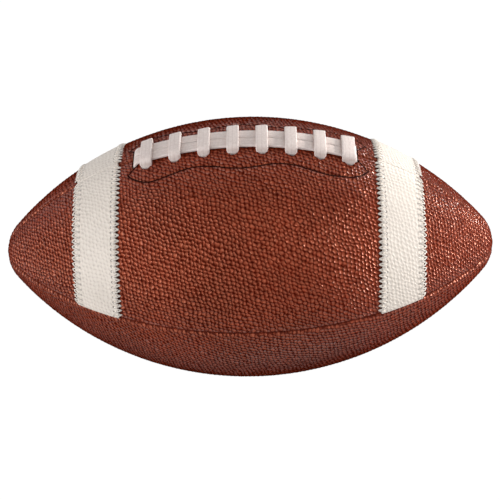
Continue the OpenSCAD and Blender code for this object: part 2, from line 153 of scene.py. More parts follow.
floor_size = 6.0
floor_gap = 0.3 * MM
floor_white_share = 0.80
floor_white = 1.25
half_floor = floor_size / 2
floor_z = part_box("panel_bottom_front")[0].z - floor_gap
floor_mesh = bpy.data.meshes.new("floor")
floor_mesh.from_pydata(
    [(-half_floor, -half_floor, floor_z), (half_floor, -half_floor, floor_z),
     (half_floor, half_floor, floor_z), (-half_floor, half_floor, floor_z)], [], [(0, 1, 2, 3)])
floor = bpy.data.objects.new("floor", floor_mesh)
bpy.context.scene.collection.objects.link(floor)
paint = bpy.data.materials.new("floor paint")
paint.use_nodes = True
tree = paint.node_tree
tree.nodes.clear()
matt = node(tree, "ShaderNodeBsdfDiffuse", {"Color": srgb(116, 116, 116)})
glow = node(tree, "ShaderNodeEmission", {"Strength": floor_white})
floor_mix = node(tree, "ShaderNodeMixShader", {
    0: fmath(tree, "MULTIPLY", seen_white(tree), floor_white_share),
    1: matt.outputs[0], 2: glow.outputs[0]})
node(tree, "ShaderNodeOutputMaterial", {"Surface": floor_mix.outputs[0]})
floor_mesh.materials.append(paint)

# Leather panels: four gores of pebbled cowhide, each a quarter of the ball. They are sewn inside
# out and turned, so that each edge rolls down into its seam. Holes for the lace and the valve are
# punched through.
quarter_turn = math.pi / 2
full_turn = 2 * math.pi
tiny = 1e-9
half_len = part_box("panel_bottom_front")[1].x
ball_r = -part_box("panel_bottom_front")[0].z
nose_r = 23.3 * MM
nose_x = half_len - nose_r
belly_r = (nose_x**2 + ball_r**2 - nose_r**2) / (2 * (ball_r - nose_r))
belly_drop = belly_r - ball_r
join_angle = math.atan2(nose_x, belly_drop)
belly_arc = belly_r * join_angle
half_arc = belly_arc + nose_r * (quarter_turn - join_angle)


def meridian(s):
    """Place along the ball, distance from its axis and slope, at an arc length from the middle."""
    s = np.asarray(s, float)
    on_belly = np.abs(s) < belly_arc
    a = np.where(on_belly, s / belly_r, np.sign(s) * (join_angle + (np.abs(s) - belly_arc) / nose_r))
    x = np.where(on_belly, belly_r * np.sin(a), np.sign(s) * nose_x + nose_r * np.sin(a))
    r = np.where(on_belly, belly_r * np.cos(a) - belly_drop, nose_r * np.cos(a))
    return x, np.maximum(r, 0), a


def arc_at(x):
    """Arc length from the middle to a place along the belly."""
    return belly_r * np.arcsin(np.asarray(x, float) / belly_r)


def on_ball(s, theta, lift):
    """Points at an arc length, an angle round the ball from its top towards the front, and a lift."""
    x, r, a = meridian(s)
    r = r + lift * np.cos(a)
    return np.stack([x + lift * np.sin(a), -r * np.sin(theta), r * np.cos(theta)], -1)


def ball_ways(s, theta):
    """Directions straight out of the leather and along the ball, at arc lengths and angles."""
    a = meridian(s)[2]
    out = np.stack([np.sin(a), -np.cos(a) * np.sin(theta), np.cos(a) * np.cos(theta)], -1)
    along = np.stack([np.cos(a), np.sin(a) * np.sin(theta), -np.sin(a) * np.cos(theta)], -1)
    return out, along


def zip_rows(first, second):
    """Triangles between two rows of points, each a list of indices and their places from 0 to 1."""
    (ia, ta), (ib, tb) = first, second
    faces, i, j = [], 0, 0
    while i < len(ia) - 1 or j < len(ib) - 1:
        if j == len(ib) - 1 or (i < len(ia) - 1 and ta[i + 1] <= tb[j + 1]):
            faces.append((ia[i], ia[i + 1], ib[j]))
            i += 1
        else:
            faces.append((ia[i], ib[j + 1], ib[j]))
            j += 1
    return faces


def new_piece(name, points, faces, layers=()):
    """A piece from its points and faces, with named numbers on its points, and maps as pairs."""
    mesh = bpy.data.meshes.new(name)
    mesh.from_pydata(np.asarray(points).tolist(), [], faces)
    corner = np.zeros(len(mesh.loops), np.int32)
    mesh.loops.foreach_get("vertex_index", corner)
    for label, values in dict(layers).items():
        values = np.asarray(values, np.float32)
        if values.ndim == 2 and values.shape[1] == 2:
            mesh.uv_layers.new(name=label).data.foreach_set("uv", values[corner].ravel())
        elif values.ndim == 2:
            ways = mesh.attributes.new(label, "FLOAT_VECTOR", "POINT")
            ways.data.foreach_set("vector", values.ravel())
        else:
            mesh.attributes.new(label, "FLOAT", "POINT").data.foreach_set("value", values)
    if faces:
        mesh.shade_smooth()
    thing = bpy.data.objects.new(name, mesh)
    bpy.context.scene.collection.objects.link(thing)
    return thing


roll_w = 1.8 * MM
roll_shares = np.array([0, 0.05, 0.17, 0.38, 0.66, 1.0])
tip_roll_share = 0.35
full_roll_width = 4 * roll_w
under_columns = 13
pebble_fade_slope = 1.2
pebble_fade_start = 0.3
seam_colour_reach = 1.5


def row_places(width, cell):
    """Places across a row of a skin.

    Gives the places, how far each lies from the row's edges in widths of the roll, and how wide
    the roll is in this row, from 0 at the tips to 1.
    """
    share = min(1.0, width / full_roll_width)
    roll = roll_w * share
    if width < cell:
        return np.array([width / 2]), np.zeros(1), share
    steps = max(2, round((width - 2 * roll) / cell))
    between = np.linspace(roll, width - roll, steps + 1)[1:-1]
    across = np.concatenate([roll_shares * roll, between, width - roll_shares[::-1] * roll])
    return across, np.minimum(across, width - across) / roll, share


def skin(name, quarter, rows, row_drop, base, thick, cell, roll_depth, marks=None):
    """A curved skin over a quarter of the ball, closed underneath, with a map for its grain.

    Rows are arc lengths, row_drop says how far each is pressed down, and base is the lift of the
    underside. Marks gives, at points of the skin, extra lift, how much of the pebbles is kept
    and how far a stitch pulls the leather in.
    """
    points, grain, pebble, seam, crease = [], [], [], [], []
    top, under = [], []
    r = meridian(rows)[1]
    turn = quarter * quarter_turn
    for n, s in enumerate(rows):
        width = r[n] * quarter_turn
        d, near, share = row_places(width, cell)
        depth = roll_depth * (tip_roll_share + (1 - tip_roll_share) * share)
        down = 1 - np.sqrt(np.clip(1 - (1 - np.minimum(near, 1)) ** 2, 0, 1))
        theta = turn + d / max(r[n], tiny)
        lift = base + thick - depth * down - row_drop[n]
        cover = np.clip(near * pebble_fade_slope - pebble_fade_start, 0, 1)
        pressed = np.zeros(len(d))
        if marks is not None:
            extra, kept, pressed = marks(s, theta)
            off_roll = near >= 1 - 1e-3
            lift = lift + extra * off_roll
            cover = cover * kept
        start = len(points)
        points.extend(on_ball(np.full(len(d), s), theta, lift))
        grain.extend(np.stack([np.full(len(d), s), d - width / 2], -1))
        pebble.extend(cover)
        seam.extend(np.clip(seam_colour_reach - near / seam_colour_reach, 0, 1))
        crease.extend(pressed)
        top.append((list(range(start, start + len(d))), d / max(width, tiny)))
    for n, s in enumerate(rows):
        index, places = top[n]
        if n in (0, len(rows) - 1) or len(index) < 3:
            under.append((index, places))
            continue
        t = np.linspace(0, 1, under_columns)[1:-1]
        start = len(points)
        points.extend(on_ball(np.full(len(t), s), turn + t * quarter_turn, np.full(len(t), base)))
        grain.extend(np.stack([np.full(len(t), s), (t - 0.5) * r[n] * quarter_turn], -1))
        pebble.extend(np.zeros(len(t)))
        seam.extend(np.zeros(len(t)))
        crease.extend(np.zeros(len(t)))
        under.append(([index[0], *range(start, start + len(t)), index[-1]],
                      np.concatenate([[0], t, [1]])))
    faces = []
    for n in range(len(rows) - 1):
        faces += [face[::-1] for face in zip_rows(top[n], top[n + 1])]
        faces += zip_rows(under[n], under[n + 1])
    return new_piece(name, points, faces, {
        "grain": grain, "pebble": pebble, "seam": seam, "crease": crease})


pebble_pitch = 2.55 * MM
pebble_height = 0.56 * MM
pebble_level = 0.6
row_lean = math.radians(-10)
row_ratio = math.sqrt(3) / 2
row_sway = 0.5
row_sway_scale = 0.16
bump_lean = math.radians(-28)
bump_length = 1.6
bump_jitter = 0.28
bump_jitter_scale = 1.1
bump_foot = 0.50
bump_crown = 0.06


def grain_height(tree, grain_map, pitch):
    """Height of the pebbles at a place of the map, from 0 in the pits to 1 on the bumps.

    Long bumps lie in staggered rows that lean, and noise sways the rows and jitters the bumps.
    A bump falls from its crown to its foot, both given as distances from its middle in pitches.
    """
    scale = fmath(tree, "DIVIDE", 1.0, pitch)
    scales = node(tree, "ShaderNodeCombineXYZ", {0: scale, 1: scale})
    flat = vmath(tree, "MULTIPLY", grain_map, scales.outputs[0])
    for reach, size in ((row_sway, row_sway_scale), (bump_jitter, bump_jitter_scale)):
        drift = node(tree, "ShaderNodeTexNoise", {"Vector": flat, "Scale": size, "Detail": 0.0},
                     noise_dimensions="2D")
        push = vmath(tree, "SUBTRACT", drift.outputs["Color"], (0.5, 0.5, 0.5))
        push = vmath(tree, "MULTIPLY", push, (2 * reach, 2 * reach, 0))
        flat = vmath(tree, "ADD", flat, push)
    cos, sin = math.cos(row_lean), math.sin(row_lean)
    along = vmath(tree, "DOT_PRODUCT", flat, (cos, sin, 0))
    across = vmath(tree, "DOT_PRODUCT", flat, (-sin, cos, 0))
    moved = node(tree, "ShaderNodeCombineXYZ", {0: along, 1: across}).outputs[0]
    cos, sin = math.cos(bump_lean), math.sin(bump_lean)
    nearest = None
    for shift in ((0, 0, 0), (row_ratio, 0.5, 0)):
        from_bump = vmath(tree, "WRAP", vmath(tree, "ADD", moved, shift),
                          (row_ratio, 0.5, 1.0), (-row_ratio, -0.5, -1.0))
        wide = vmath(tree, "DOT_PRODUCT", from_bump, (cos, sin, 0))
        long = vmath(tree, "DOT_PRODUCT", from_bump, (-sin / bump_length, cos / bump_length, 0))
        flat = node(tree, "ShaderNodeCombineXYZ", {0: wide, 1: long}).outputs[0]
        for row in (-1, 0, 1):
            next_one = (row * sin, row * cos / bump_length, 0)
            far = vmath(tree, "LENGTH", vmath(tree, "ADD", flat, next_one))
            nearest = far if nearest is None else fmath(tree, "MINIMUM", nearest, far)
    return node(tree, "ShaderNodeMapRange", {
        "Value": nearest, "From Min": bump_foot, "From Max": bump_crown}).outputs[0]


def new_group(name, kind, *sockets):
    """A node group with named inputs and outputs. Each socket is its name, way, type and value."""
    group = bpy.data.node_groups.new(name, kind)
    for label, way, form, value in sockets:
        socket = group.interface.new_socket(name=label, in_out=way, socket_type="NodeSocket" + form)
        if value is not None:
            socket.default_value = value
    given = group.nodes.new("NodeGroupInput").outputs
    made = group.nodes.new("NodeGroupOutput").inputs
    return group, given, made


def run_tree(thing, group, **values):
    """Puts a tree on a piece with its inputs set, and keeps what it makes as a plain mesh."""
    modifier = thing.modifiers.new(group.name, "NODES")
    modifier.node_group = group
    for item in group.interface.items_tree:
        if item.in_out == "INPUT" and item.name in values:
            modifier[item.identifier] = values[item.name]
    return keep_result(thing)


def keep_result(thing):
    """Applies a piece's modifiers and leaves a plain mesh."""
    settled = thing.evaluated_get(bpy.context.evaluated_depsgraph_get())
    plain = bpy.data.meshes.new_from_object(settled)
    thing.modifiers.clear()
    old = thing.data
    thing.data = plain
    bpy.data.meshes.remove(old)
    plain.name = thing.name
    return thing


def place(piece, slot, *nodes):
    """Fixes a finished piece to the ball and hides the solids that it stands for. The slot is not used.
    """
    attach(piece, "root")
    if nodes:
        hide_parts(*nodes)


pebbler, given, made = new_group(
    "raise pebbles", "GeometryNodeTree",
    ("Geometry", "INPUT", "Geometry", None), ("Pitch", "INPUT", "Float", pebble_pitch),
    ("Height", "INPUT", "Float", pebble_height), ("Material", "INPUT", "Material", None),
    ("Geometry", "OUTPUT", "Geometry", None))
grain_map = node(pebbler, "GeometryNodeInputNamedAttribute", {"Name": "grain"},
                 data_type="FLOAT_VECTOR")
cover = node(pebbler, "GeometryNodeInputNamedAttribute", {"Name": "pebble"})
rise = grain_height(pebbler, grain_map.outputs["Attribute"], given["Pitch"])
rise = fmath(pebbler, "SUBTRACT", rise, pebble_level)
rise = fmath(pebbler, "MULTIPLY", rise, cover.outputs["Attribute"])
rise = fmath(pebbler, "MULTIPLY", rise, given["Height"])
push = node(pebbler, "ShaderNodeVectorMath", {
    0: pebbler.nodes.new("GeometryNodeInputNormal").outputs[0], "Scale": rise}, operation="SCALE")
raised = node(pebbler, "GeometryNodeSetPosition", {
    "Geometry": given["Geometry"], "Offset": push.outputs["Vector"]})
real = node(pebbler, "GeometryNodeRealizeInstances", {0: raised.outputs[0]})
done = node(pebbler, "GeometryNodeSetMaterial", {
    "Geometry": real.outputs[0], "Material": given["Material"]})
pebbler.links.new(done.outputs[0], made["Geometry"])

grain_group, given, made = new_group(
    "pebble grain", "ShaderNodeTree",
    ("Map", "INPUT", "Vector", None), ("Pitch", "INPUT", "Float", pebble_pitch),
    ("Height", "OUTPUT", "Float", None))
grain_group.links.new(grain_height(grain_group, given["Map"], given["Pitch"]), made["Height"])


def surface(name, roughness, specular=0.5):
    """A new material with its shader, ready for the nodes of its finish."""
    material = bpy.data.materials.new(name)
    material.use_nodes = True
    shader = material.node_tree.nodes["Principled BSDF"]
    shader.inputs["Roughness"].default_value = roughness
    shader.inputs["Specular IOR Level"].default_value = specular
    return material, material.node_tree, shader.inputs


def ramp(tree, value, *steps):
    """Colours by a value: steps are pairs of a place and a colour."""
    made = node(tree, "ShaderNodeValToRGB", {0: value})
    stops = made.color_ramp.elements
    while len(stops) < len(steps):
        stops.new(1.0)
    for stop, (spot, colour) in zip(stops, steps):
        stop.position = spot
        stop.color = colour
    return made.outputs["Color"]


def mixed(tree, share, one, two):
    """The second colour laid over the first by a share."""
    return node(tree, "ShaderNodeMix", {0: share, 6: one, 7: two}, data_type="RGBA").outputs[2]


def stepped(tree, value, low, high, at_low=0.0, at_high=1.0):
    """A soft step of a value from one level to another."""
    return node(tree, "ShaderNodeMapRange", {
        "Value": value, "From Min": low, "From Max": high, "To Min": at_low, "To Max": at_high},
        interpolation_type="SMOOTHSTEP").outputs[0]


def noise(tree, where, scale, detail, **more):
    """Noise over places, from 0 to 1."""
    inputs = {"Vector": where, "Scale": scale, "Detail": detail, **more}
    return node(tree, "ShaderNodeTexNoise", inputs).outputs[0]


def object_place(tree):
    """The place on the ball that is being coloured."""
    return node(tree, "ShaderNodeTexCoord").outputs["Object"]


def spread(tree, name):
    """A number that a piece carries on its points."""
    return node(tree, "ShaderNodeAttribute", attribute_name=name).outputs["Fac"]


def roughened(tree, inputs, height, strength, distance, under=None):
    """A bump on a material's normal, over another bump where one is given."""
    made = node(tree, "ShaderNodeBump", {
        "Height": height, "Strength": strength, "Distance": distance})
    if under is not None:
        tree.links.new(under, made.inputs["Normal"])
    tree.links.new(made.outputs[0], inputs["Normal"])
    return made.outputs[0]


# Places of the stripes and their stitches, which the leather beside them needs too. The group says
# how far outside a stripe's edge a place lies, and where it is in the row of stitches there.
stripe_near_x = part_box("stripe_front_right")[0].x
stripe_far_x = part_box("stripe_front_right")[1].x
stripe_slope = 0.88
zigzag_pitch = 3.1 * MM
near_count = round(quarter_turn * meridian(arc_at(stripe_near_x))[1] / zigzag_pitch)
far_count = round(quarter_turn * meridian(arc_at(stripe_far_x))[1] / zigzag_pitch)
stripe_middle_x = (stripe_near_x + stripe_far_x) / 2
stripe_half_w = (stripe_far_x - stripe_near_x) / 2
unsewn_to = 1.2 * MM
sewn_from = 2.6 * MM

edge_group, given, made = new_group(
    "stripe edge", "ShaderNodeTree", ("Place", "INPUT", "Vector", None),
    ("Outside", "OUTPUT", "Float", None), ("Phase", "OUTPUT", "Float", None),
    ("Sewn", "OUTPUT", "Float", None), ("Far", "OUTPUT", "Float", None))
axes = node(edge_group, "ShaderNodeSeparateXYZ", {0: given["Place"]}).outputs
along = fmath(edge_group, "ABSOLUTE", axes[0])
past_middle = fmath(edge_group, "SUBTRACT", along, stripe_middle_x)
beyond = fmath(edge_group, "SUBTRACT", fmath(edge_group, "ABSOLUTE", past_middle), stripe_half_w)
edge_group.links.new(fmath(edge_group, "DIVIDE", beyond, stripe_slope), made["Outside"])
round_angle = fmath(edge_group, "ARCTAN2", fmath(edge_group, "MULTIPLY", axes[1], -1.0), axes[2])
off_seam = stepped(edge_group, fmath(edge_group, "ABSOLUTE", axes[1]), unsewn_to, sewn_from)
on_top = fmath(edge_group, "GREATER_THAN", axes[2], 0.0)
edge_group.links.new(fmath(edge_group, "MULTIPLY", on_top, off_seam), made["Sewn"])
is_far = fmath(edge_group, "GREATER_THAN", past_middle, 0.0)
edge_group.links.new(is_far, made["Far"])
count = fmath(edge_group, "MULTIPLY", is_far, float(far_count - near_count))
count = fmath(edge_group, "ADD", count, float(near_count))
turns = fmath(edge_group, "DIVIDE", fmath(edge_group, "MULTIPLY", round_angle, count), quarter_turn)
edge_group.links.new(fmath(edge_group, "SUBTRACT", fmath(edge_group, "FRACT", turns), 0.5), made["Phase"])


def pebbled_leather(name, roughness, specular, relief, fine_relief):
    """A new leather with its pebbles and its fine grain raised. Relief is a strength and a height."""
    material, tree, shader = surface(name, roughness, specular)
    uv = node(tree, "ShaderNodeUVMap", uv_map="grain").outputs[0]
    height = node(tree, "ShaderNodeGroup", {"Map": uv, "Pitch": pebble_pitch},
                  node_tree=grain_group).outputs[0]
    fine = noise(tree, object_place(tree), 3600.0, 2.0)
    pebbled = roughened(tree, shader, height, *relief)
    roughened(tree, shader, fine, *fine_relief, pebbled)
    return material, tree, shader, height


hide, tree, shader, height = pebbled_leather(
    "pebbled cowhide", 0.42, 0.5, (0.9, 0.22 * MM), (0.2, 0.05 * MM))
shader["Specular Tint"].default_value = srgb(255, 166, 130)
shader["IOR"].default_value = 1.56
place_here = object_place(tree)
# Colour by pebble height: painted shade darkens the pits and a painted highlight lightens the crowns.
shaded_pit, slope, bump, crown = srgb(60, 10, 4), srgb(94, 28, 13), srgb(124, 45, 24), srgb(148, 58, 34)
colour = ramp(tree, height, (0.0, shaded_pit), (0.30, slope), (0.62, bump), (1.0, crown))
cloud = stepped(tree, noise(tree, place_here, 24.0, 3.0), 0.3, 0.7, 0.84, 1.10)
speck = stepped(tree, noise(tree, place_here, 420.0, 1.0), 0.3, 0.7, 0.85, 1.15)
colour = vmath(tree, "MULTIPLY", colour, fmath(tree, "MULTIPLY", cloud, speck))
# Painted highlight: the leather is lightened on the rolled edges along the seams.
seam_highlight = fmath(tree, "MULTIPLY", spread(tree, "seam"), 0.30)
colour = mixed(tree, seam_highlight, colour, srgb(122, 62, 50))
# Painted shade: the leather is darkened in the groove that the stay stitches pull in.
crease = fmath(tree, "MULTIPLY", spread(tree, "crease"), 0.6)
colour = mixed(tree, crease, colour, srgb(26, 6, 4))
edge = node(tree, "ShaderNodeGroup", {"Place": place_here}, node_tree=edge_group).outputs
# Painted shadow: a dark band on the leather just outside each stripe's sewn edges.
edge_shadow = stepped(tree, edge["Outside"], 1.1 * MM, 1.9 * MM, 1.0, 0.0)
edge_shadow = fmath(tree, "MULTIPLY", edge_shadow, edge["Sewn"])
colour = mixed(tree, fmath(tree, "MULTIPLY", edge_shadow, 0.9), colour, srgb(24, 10, 8))
tree.links.new(colour, shader["Base Color"])
tree.links.new(stepped(tree, height, 0.1, 0.5, 0.60, 0.24), shader["Roughness"])
grazing = node(tree, "ShaderNodeLayerWeight", {"Blend": 0.5}).outputs["Facing"]
crown_shine = stepped(tree, height, 0.25, 0.75, 0.03, 1.0)
facing_shine = stepped(tree, grazing, 0.36, 0.68, 1.0, 0.0)
shine = fmath(tree, "MULTIPLY", crown_shine, facing_shine)
tree.links.new(shine, shader["Specular IOR Level"])

# Line of the stay's stitches: a wave along both sides of the lacing, closed round its two ends.
# The thread pulls a shallow groove into the lace panels.
stay_wave_y = 18.7 * MM
stay_wave_height = 1.75 * MM
stay_wave_length = 48.5 * MM
stay_wave_crest = -3.8 * MM
stay_corner_x = 54.0 * MM
stay_tip = (66.4 * MM, 11.7 * MM)
stay_turn = (61.5 * MM, 18.4 * MM)
stay_start = (60.2 * MM, 3.6 * MM)
end_points, wave_points, line_points = 40, 300, 900


def stay_wave(x):
    """How far the line lies from the seam at a place along the ball."""
    return stay_wave_y + stay_wave_height * np.cos(full_turn * (x - stay_wave_crest) / stay_wave_length)


def walk(path):
    """Distance walked along a path, at each of its points."""
    return np.concatenate([[0], np.cumsum(np.linalg.norm(np.diff(path, axis=0), axis=1))])


def stay_path():
    """The line of stitches round one side of the lacing, as places along and across the ball."""
    def end(side):
        """Out from the seam to the tip, and bent back into the wave."""
        corner = np.array((side * stay_corner_x, stay_wave(side * stay_corner_x)))
        start, tip, turn = [np.array((side * p[0], p[1])) for p in (stay_start, stay_tip, stay_turn)]
        t = np.linspace(0, 1, end_points)[:, None]
        straight = start + (tip - start) * t
        bent = (1 - t) ** 2 * tip + 2 * t * (1 - t) * turn + t**2 * corner
        return np.concatenate([straight, bent[1:]])
    x = np.linspace(-stay_corner_x, stay_corner_x, wave_points)[1:-1]
    wave = np.stack([x, stay_wave(x)], -1)
    path = np.concatenate([end(-1), wave, end(1)[::-1]])
    walked = walk(path)
    even = np.linspace(0, walked[-1], line_points)
    return np.stack([np.interp(even, walked, path[:, k]) for k in (0, 1)], -1)


stay_line = stay_path()
line_s = arc_at(stay_line[:, 0])
line_theta = np.arcsin(stay_line[:, 1] / meridian(line_s)[1])
groove_depth = 0.40 * MM
groove_w = 0.75 * MM
groove_least_pebble = 0.25


def stay_groove(s, theta):
    """The groove in one row of a lace panel, worked out only within a few of its own widths.

    Gives its lift, how much of the pebbles is kept and how far the leather is pulled in.
    """
    r = meridian(s)[1]
    if abs(s) > line_s.max() + 4 * groove_w or r < ball_r / 2:
        return np.zeros(len(theta)), np.ones(len(theta)), np.zeros(len(theta))
    turn = np.abs((theta + math.pi) % full_turn - math.pi)
    gap = np.full(len(theta), 1.0)
    close = turn < line_theta.max() + 6 * groove_w / r
    if close.any():
        near_s = np.abs(line_s - s) < 5 * groove_w
        if near_s.any():
            ds = line_s[near_s] - s
            dt = (line_theta[near_s][None] - turn[close][:, None]) * r
            gap[close] = np.sqrt(ds[None] ** 2 + dt**2).min(axis=1)
    dip = np.exp(-((gap / groove_w) ** 2))
    return -groove_depth * dip, np.clip(gap / (2 * groove_w), groove_least_pebble, 1), dip


# Holes in the panels: sixteen round ones and two wide mouths for the lace, and one for the valve.
# They are punched once the pebbles are raised.
lace_hole_r = 2.6 * MM
cross_count = 8
cross_pitch = 16.05 * MM
lacing_y = 1.0 * MM
hole_y = 9.4 * MM
lace_w = 6.8 * MM
lace_t = 2.0 * MM
first_x = -(cross_count - 1) / 2 * cross_pitch
mouth_x = -first_x + 5.0 * MM
mouth_len = 3.4 * MM
mouth_shift = -1.4 * MM
mouth_w = 15.6 * MM
valve_hole_r = 4.4 * MM
valve_way = Vector((0, 1, -1)).normalized()
pin_sides = 40
punch_len = 26 * MM
punch_drop = 3 * MM
mouth_punch_drop = 9 * MM
valve_punch_len = 12 * MM


def cutter(shapes):
    """A punch made of round pins and boxes. Each shape is its kind, place, direction and sizes."""
    form = bmesh.new()
    for kind, centre, direction, sizes in shapes:
        turn = Vector((0, 0, 1)).rotation_difference(Vector(direction)).to_matrix().to_4x4()
        where = Matrix.Translation(centre) @ turn
        if kind == "pin":
            bmesh.ops.create_cone(form, cap_ends=True, segments=pin_sides, radius1=sizes[0],
                                  radius2=sizes[0], depth=sizes[1], matrix=where)
        else:
            bmesh.ops.create_cube(form, size=1.0, matrix=where @ Matrix.Diagonal((*sizes, 1)))
    mesh = bpy.data.meshes.new("cutter")
    form.to_mesh(mesh)
    form.free()
    thing = bpy.data.objects.new("cutter", mesh)
    bpy.context.scene.collection.objects.link(thing)
    return thing


def punch(panel, shapes):
    """Cuts holes through a panel."""
    tool = cutter(shapes)
    tool.data.materials.append(panel.data.materials[0])
    cut = panel.modifiers.new("holes", "BOOLEAN")
    cut.object = tool
    cut.operation = "DIFFERENCE"
    cut.solver = "MANIFOLD"
    keep_result(panel)
    bpy.data.objects.remove(tool)


def lace_punch(side):
    """Lace holes of one lace panel, and its halves of the two mouths at the ends of the slit."""
    up = (0, 0, 1)
    pins = [("pin", (first_x + k * cross_pitch, lacing_y + side * hole_y, ball_r - punch_drop), up,
             (lace_hole_r, punch_len)) for k in range(cross_count)]
    slots = [("box", (end * mouth_x + mouth_shift, lacing_y, ball_r - mouth_punch_drop), up,
              (mouth_len, mouth_w, punch_len)) for end in (-1, 1)]
    return pins + slots


panel_t = 2.2 * MM
panel_cell = 0.55 * MM
panel_rows = np.linspace(-half_arc, half_arc, round(2 * half_arc / panel_cell) + 1)
no_drop = np.zeros(len(panel_rows))
valve_punch = [("pin", valve_way * ball_r, valve_way, (valve_hole_r, valve_punch_len))]
panel_plan = (
    ("panel_top_front", stay_groove, lace_punch(-1)),
    ("panel_bottom_front", None, None),
    ("panel_bottom_rear", None, valve_punch),
    ("panel_top_rear", stay_groove, lace_punch(1)),
)
for quarter, (name, marks, holes) in enumerate(panel_plan):
    panel = skin("leather_" + name, quarter, panel_rows, no_drop, -panel_t, panel_t,
                 panel_cell, panel_t, marks)
    run_tree(panel, pebbler, Pitch=pebble_pitch, Height=pebble_height, Material=hide)
    if holes:
        punch(panel, holes)
    place(panel, "brown_leather", name)

# White stripes: thin strips of the same pebbled leather, painted white, laid over the lace panels
# and sewn down along both long edges. Their ends roll into the seams with the panels.
stripe_t = 0.8 * MM
stripe_cell = 0.55 * MM
stripe_round = 0.45 * MM
stripe_tuck = 0.35 * MM
stripe_pebble_height = 0.22 * MM
needle_reach = 2.6 * MM
needle_hole_reach = needle_reach + 0.35 * MM

white, tree, shader, height = pebbled_leather(
    "white painted leather", 0.5, 0.25, (0.6, 0.14 * MM), (0.15, 0.05 * MM))
place_here = object_place(tree)
# Colour by pebble height: painted shade greys the pits and a painted highlight lightens the crowns.
shaded_pit, slope, crown = srgb(214, 202, 191), srgb(241, 229, 217), srgb(248, 238, 227)
colour = ramp(tree, height, (0.0, shaded_pit), (0.35, slope), (1.0, crown))
cloud = stepped(tree, noise(tree, place_here, 60.0, 3.0), 0.3, 0.7, 0.95, 1.0)
colour = vmath(tree, "MULTIPLY", colour, cloud)
edge = node(tree, "ShaderNodeGroup", {"Place": place_here}, node_tree=edge_group).outputs
# Painted shade: dark dots stand in for the needle holes beside the zigzags, fainter on the far edges.
beside = fmath(tree, "MULTIPLY", edge["Phase"], zigzag_pitch)
below = fmath(tree, "ADD", edge["Outside"], needle_hole_reach)
from_hole = node(tree, "ShaderNodeCombineXYZ", {0: beside, 1: below}).outputs[0]
needle_hole_shade = stepped(tree, vmath(tree, "LENGTH", from_hole), 0.50 * MM, 0.85 * MM, 1.0, 0.0)
needle_hole_shade = fmath(tree, "MULTIPLY", needle_hole_shade, edge["Sewn"])
needle_hole_shade = fmath(tree, "MULTIPLY", needle_hole_shade, stepped(tree, edge["Far"], 0.0, 1.0, 0.9, 0.4))
colour = mixed(tree, needle_hole_shade, colour, srgb(60, 48, 44))
tree.links.new(colour, shader["Base Color"])

near_s, far_s = float(arc_at(stripe_near_x)), float(arc_at(stripe_far_x))
round_steps = np.array([0, 0.06, 0.2, 0.45, 0.75, 1.0])
stripe_steps = round((far_s - near_s) / stripe_cell)
stripe_middle = np.linspace(near_s + stripe_round, far_s - stripe_round, stripe_steps + 1)[1:-1]
stripe_rows = np.concatenate([near_s + round_steps * stripe_round, stripe_middle,
                              far_s - round_steps[::-1] * stripe_round])
from_edge = np.minimum(stripe_rows - near_s, far_s - stripe_rows)
edge_share = np.clip(1 - from_edge / stripe_round, 0, 1)
stripe_drop = stripe_t * (1 - np.sqrt(1 - edge_share**2))
lace_quarters = ((0, "front"), (3, "rear"))
ball_ends = (("left", -1), ("right", 1))
for quarter, side in lace_quarters:
    for end, sign in ball_ends:
        rows, drop = sign * stripe_rows[::sign], stripe_drop[::sign]
        stripe = skin(f"white_stripe_{side}_{end}", quarter, rows, drop, 0.0, stripe_t,
                      stripe_cell, stripe_tuck)
        run_tree(stripe, pebbler, Pitch=pebble_pitch, Height=stripe_pebble_height, Material=white)
        place(stripe, "white_leather", f"stripe_{side}_{end}")

# Zigzag stitches: thick white waxed thread, overcast from a row of needle holes in each stripe to
# the brown leather beside it.
thread_sides = 8
thread_steps = 2


def unit(ways):
    """Directions, each made one long."""
    return ways / np.linalg.norm(ways, axis=1)[:, None]


def tube_faces(rings, sides):
    """Faces of a tube whose points go round it ring by ring, with both ends closed."""
    faces = []
    for i in range(rings - 1):
        for k in range(sides):
            a, b = i * sides + k, i * sides + (k + 1) % sides
            faces.append((a, b, b + sides, a + sides))
    last = (rings - 1) * sides
    return faces + [tuple(range(sides))[::-1], tuple(range(last, last + sides))]


def smooth_path(path, steps):
    """A smooth curve through the points of a path, with steps between each two."""
    knots = np.concatenate([[2 * path[0] - path[1]], path, [2 * path[-1] - path[-2]]])
    out = []
    for i in range(1, len(knots) - 2):
        p0, p1, p2, p3 = knots[i - 1:i + 3]
        for t in np.arange(steps) / steps:
            out.append(0.5 * (2 * p1 + (p2 - p0) * t + (2 * p0 - 5 * p1 + 4 * p2 - p3) * t**2
                              + (3 * p1 - 3 * p2 + p3 - p0) * t**3))
    out.append(path[-1])
    return np.array(out)


def stitch_form(name, stops, radius_w, radius_t):
    """One stitch along its stops, with +Z up from the leather, wider across than it is thick."""
    path = smooth_path(np.array(stops, float), thread_steps)
    ahead = unit(np.gradient(path, axis=0))
    wide = unit(np.cross((0, 0, 1), ahead))
    thick = np.cross(ahead, wide)
    turn = np.linspace(0, full_turn, thread_sides, endpoint=False)
    ring = (np.cos(turn)[None, :, None] * radius_w * wide[:, None]
            + np.sin(turn)[None, :, None] * radius_t * thick[:, None])
    points = (path[:, None] + ring).reshape(-1, 3)
    return new_piece(name, points, tube_faces(len(path), thread_sides))


